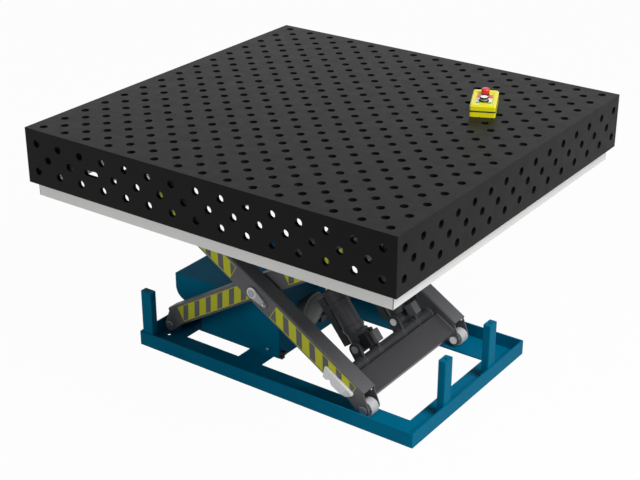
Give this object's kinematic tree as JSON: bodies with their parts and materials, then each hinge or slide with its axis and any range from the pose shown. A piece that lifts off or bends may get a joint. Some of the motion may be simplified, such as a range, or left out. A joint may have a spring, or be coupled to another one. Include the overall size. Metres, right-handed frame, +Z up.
{
  "type": "height adjustable welding table",
  "caption": "Perforated steel welding table on a hydraulic scissor lift, with drilled side walls, tray base, safety frame, power pack under a cover and a small push-button box.",
  "frame": {"origin": "On the floor under the middle of the table top", "axes": "+Z up, +X along the base frame towards the lower rollers, +Y to the back; the arms turn in the XZ plane"},
  "size_m": [1.5, 1.48, 1.015],
  "materials": {
    "dark_steel": "satin, oiled",
    "teal_paint": "semi-gloss",
    "graphite_paint": "semi-gloss",
    "silver": "anodised",
    "zinc_steel": "zinc plated",
    "chrome": "polished",
    "bronze": "plain",
    "roller_nylon": "smooth",
    "light_grey_paint": "satin",
    "red_plastic": "gloss",
    "white_plastic": "gloss",
    "yellow_plastic": "satin",
    "black_plastic": "satin"
  },
  "bodies": {
    "base": {"base_frame": "teal_paint", "support_posts": "teal_paint", "base_lugs": "teal_paint", "pack_tray": "zinc_steel", "oil_tank": "black_plastic", "pump_block": "silver", "pump_motor": "graphite_paint", "pack_cover": "teal_paint", "terminal_box": "black_plastic"},
    "inner_arms": {"inner_arm_front": "graphite_paint", "inner_arm_back": "graphite_paint", "centre_bushes": "bronze", "lower_hinge_pins": "zinc_steel", "upper_roller_axles": "zinc_steel", "inner_arm_ties": "graphite_paint", "torsion_tube": "graphite_paint", "lift_levers": "graphite_paint", "lever_pins": "zinc_steel"},
    "outer_arms": {"outer_arm_front": "graphite_paint", "outer_arm_back": "graphite_paint", "centre_pins": "zinc_steel", "pin_keepers": "zinc_steel", "upper_hinge_pins": "zinc_steel", "lower_roller_axles": "zinc_steel", "cross_box": "graphite_paint", "cylinder_foot_bracket": "graphite_paint", "cylinder_foot_pins": "zinc_steel", "prop_bolts": "zinc_steel"},
    "table": {"platform_frame": "teal_paint", "platform_lugs": "teal_paint", "table_top": "dark_steel", "table_wall_front": "dark_steel", "table_wall_back": "dark_steel", "table_wall_left": "dark_steel", "table_wall_right": "dark_steel", "table_long_ribs": "dark_steel", "table_cross_ribs": "dark_steel", "skirt_outriggers": "zinc_steel", "skirt_hanger_bolts": "zinc_steel"},
    "safety_frame": {"safety_frame": "silver"},
    "control_box": {"control_base": "yellow_plastic", "control_lid": "yellow_plastic"},
    "stop_button": {"stop_button": "red_plastic"},
    "start_button": {"start_button": "white_plastic"},
    "cylinder_front": {"cylinder_barrel_front": "graphite_paint", "cylinder_guard_front": "graphite_paint"},
    "rod_front": {"cylinder_rod_front": "chrome", "rod_eye_front": "graphite_paint"},
    "lower_roller_front": {"lower_roller_front": "roller_nylon"},
    "upper_roller_front": {"upper_roller_front": "roller_nylon"},
    "service_prop_front": {"service_prop_front": "light_grey_paint"},
    "cylinder_back": {"cylinder_barrel_back": "graphite_paint", "cylinder_guard_back": "graphite_paint"},
    "rod_back": {"cylinder_rod_back": "chrome", "rod_eye_back": "graphite_paint"},
    "lower_roller_back": {"lower_roller_back": "roller_nylon"},
    "upper_roller_back": {"upper_roller_back": "roller_nylon"},
    "service_prop_back": {"service_prop_back": "light_grey_paint"}
  },
  "joints": [
    {"name": "lift", "type": "hinge", "parent": "base", "child": "inner_arms", "pos_m": [-0.57, 0, 0.0363], "axis": [0, -1, 0], "range_deg": [-28.18, 2.5]},
    {"name": "arm_cross", "type": "hinge", "parent": "inner_arms", "child": "outer_arms", "pos_m": [-0.09585, 0, 0.35624], "axis": [0, -1, 0], "range_deg": [-5.01, 56.37]},
    {"name": "platform_level", "type": "hinge", "parent": "outer_arms", "child": "table", "pos_m": [-0.57, 0, 0.67618], "axis": [0, -1, 0], "range_deg": [-28.19, 2.51]},
    {"name": "lower_roller_front_turn", "type": "hinge", "parent": "outer_arms", "child": "lower_roller_front", "pos_m": [0.37831, -0.307, 0.0363], "axis": [0, 1, 0], "continuous": true},
    {"name": "upper_roller_front_turn", "type": "hinge", "parent": "inner_arms", "child": "upper_roller_front", "pos_m": [0.37831, -0.236, 0.67618], "axis": [0, 1, 0], "continuous": true},
    {"name": "cylinder_front_swing", "type": "hinge", "parent": "outer_arms", "child": "cylinder_front", "pos_m": [0.23311, -0.127, 0.1562], "axis": [0, -1, 0], "range_deg": [-1.68, 0.16]},
    {"name": "rod_front_slide", "type": "slide", "parent": "cylinder_front", "child": "rod_front", "axis": [-0.6193, 0, 0.7851], "range_m": [-0.14276, 0.01285]},
    {"name": "lower_roller_back_turn", "type": "hinge", "parent": "outer_arms", "child": "lower_roller_back", "pos_m": [0.37831, 0.307, 0.0363], "axis": [0, 1, 0], "continuous": true},
    {"name": "upper_roller_back_turn", "type": "hinge", "parent": "inner_arms", "child": "upper_roller_back", "pos_m": [0.37831, 0.236, 0.67618], "axis": [0, 1, 0], "continuous": true},
    {"name": "cylinder_back_swing", "type": "hinge", "parent": "outer_arms", "child": "cylinder_back", "pos_m": [0.23311, 0.127, 0.1562], "axis": [0, -1, 0], "range_deg": [-1.68, 0.16]},
    {"name": "rod_back_slide", "type": "slide", "parent": "cylinder_back", "child": "rod_back", "axis": [-0.6193, 0, 0.7851], "range_m": [-0.14276, 0.01285]},
    {"name": "service_prop_front_swing", "type": "hinge", "parent": "outer_arms", "child": "service_prop_front", "pos_m": [0.31606, -0.34825, 0.09054], "axis": [0, -1, 0], "range_deg": [0, 70]},
    {"name": "service_prop_back_swing", "type": "hinge", "parent": "outer_arms", "child": "service_prop_back", "pos_m": [0.31606, 0.34825, 0.09054], "axis": [0, -1, 0], "range_deg": [0, 70]},
    {"name": "safety_frame_lift", "type": "slide", "parent": "table", "child": "safety_frame", "axis": [0, 0, 1], "range_m": [0, 0.008]},
    {"name": "control_box_lift_off", "type": "slide", "parent": "table", "child": "control_box", "axis": [0, 0, 1], "range_m": [0, 0.08]},
    {"name": "stop_button_press", "type": "slide", "parent": "control_box", "child": "stop_button", "axis": [0, 0, -1], "range_m": [0, 0.004], "stiffness_N_per_m": 1500, "springref_m": -0.002},
    {"name": "start_button_press", "type": "slide", "parent": "control_box", "child": "start_button", "axis": [0, 0, -1], "range_m": [0, 0.003], "stiffness_N_per_m": 1200, "springref_m": -0.002}
  ],
  "couplings": [
    {"joint": "arm_cross", "follows": "lift", "ratio": -2},
    {"joint": "platform_level", "follows": "lift", "ratio": 1},
    {"joint": "cylinder_front_swing", "follows": "lift", "ratio": 0.05917},
    {"joint": "rod_front_slide", "follows": "lift", "m_per_rad": 0.28985},
    {"joint": "cylinder_back_swing", "follows": "lift", "ratio": 0.05917},
    {"joint": "rod_back_slide", "follows": "lift", "m_per_rad": 0.28985}
  ]
}
